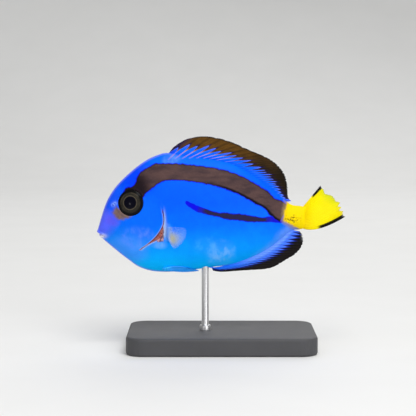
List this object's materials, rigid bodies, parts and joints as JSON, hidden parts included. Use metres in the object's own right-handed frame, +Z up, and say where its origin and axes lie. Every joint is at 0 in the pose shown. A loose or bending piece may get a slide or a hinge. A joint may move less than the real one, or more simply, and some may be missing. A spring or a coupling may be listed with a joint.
{
  "type": "regal blue tang",
  "caption": "Still life-size model of a young regal blue tang on a plain display stand, fins spread and tail fin swung to one side.",
  "frame": {"origin": "centre of the underside of the stand's base, under the middle of the fish's whole length", "axes": "+X from the snout towards the tail, +Y from the left flank towards the right flank, +Z up"},
  "size_m": [0.0277, 0.0132, 0.0237],
  "materials": {
    "blue_skin": "painted skin, satin, saturated blue with the dark band of the species",
    "yellow_skin": "painted skin and fin membrane, satin yellow",
    "dark_fin": "brown-black membrane with blue at the roots of the rays",
    "blue_fin": "blue membrane with a black edge",
    "clear_fin": "thin, nearly clear membrane with pale rays",
    "eye": "glossy dark eye",
    "gill": "moist red filaments",
    "stand_base": "matt dark grey",
    "stand_rod": "brushed"
  },
  "bodies": {
    "root": {"head": "blue_skin", "torso": "blue_skin", "tail_peduncle": "yellow_skin", "caudal_fin": "yellow_skin", "dorsal_fin": "dark_fin", "anal_fin": "blue_fin", "pectoral_fin_left": "clear_fin", "pectoral_fin_right": "clear_fin", "pelvic_fin_left": "blue_fin", "pelvic_fin_right": "blue_fin", "eye_left": "eye", "eye_right": "eye", "gills_left": "gill", "gills_right": "gill", "stand_base": "stand_base", "stand_rod": "stand_rod"}
  },
  "joints": []
}
